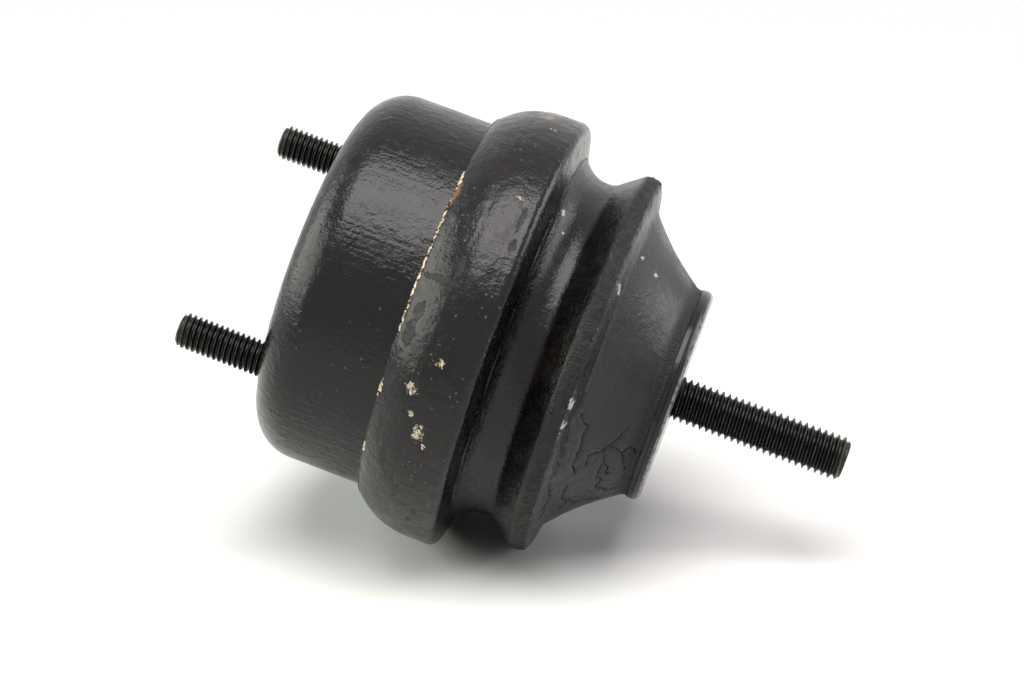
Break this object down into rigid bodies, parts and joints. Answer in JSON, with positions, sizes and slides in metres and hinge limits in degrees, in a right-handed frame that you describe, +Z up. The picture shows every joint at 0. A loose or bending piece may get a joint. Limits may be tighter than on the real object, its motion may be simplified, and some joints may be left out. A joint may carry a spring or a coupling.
{
  "type": "engine mount",
  "caption": "Hydraulic engine mount: a steel can with base studs, a rolled clamping ring, and a waisted rubber spring on a bell-shaped armature with a top stud.",
  "frame": {"origin": "centre of the can's bottom face, on the plane that is bolted down, midway between the base studs", "axes": "+Z up the top stud; the base studs stand down on the X axis"},
  "size_m": [0.1, 0.1, 0.1458],
  "materials": {
    "can_paint": "gloss black paint with orange peel, draw lines and small pits",
    "ring_paint": "gloss black paint, blotchy, with worn edges and chips down to primer and metal",
    "spring_rubber": "painted moulded rubber, satin, rough at the trimmed lip, cracked on the cone",
    "disc_paint": "satin black paint, worn pale at the rim",
    "stud_oxide": "black oxide with bright thread crests",
    "inner_steel": "phosphated pressed steel",
    "track_cast": "as cast and pressed aluminium",
    "inner_rubber": "moulded rubber, matt"
  },
  "bodies": {
    "root": {"lower_can": "can_paint", "stud_plate": "inner_steel", "base_stud_1": "stud_oxide", "base_stud_2": "stud_oxide", "diaphragm": "inner_rubber", "diaphragm_ring": "inner_steel", "track_plate": "track_cast", "decoupler": "inner_rubber", "orifice_plate": "track_cast", "track_rivet_1": "inner_steel", "track_rivet_2": "inner_steel", "track_rivet_3": "inner_steel", "track_rivet_4": "inner_steel", "support_ring": "inner_steel", "rubber_spring": "spring_rubber", "armature": "disc_paint", "top_stud": "stud_oxide", "crimp_ring": "ring_paint"}
  },
  "joints": []
}
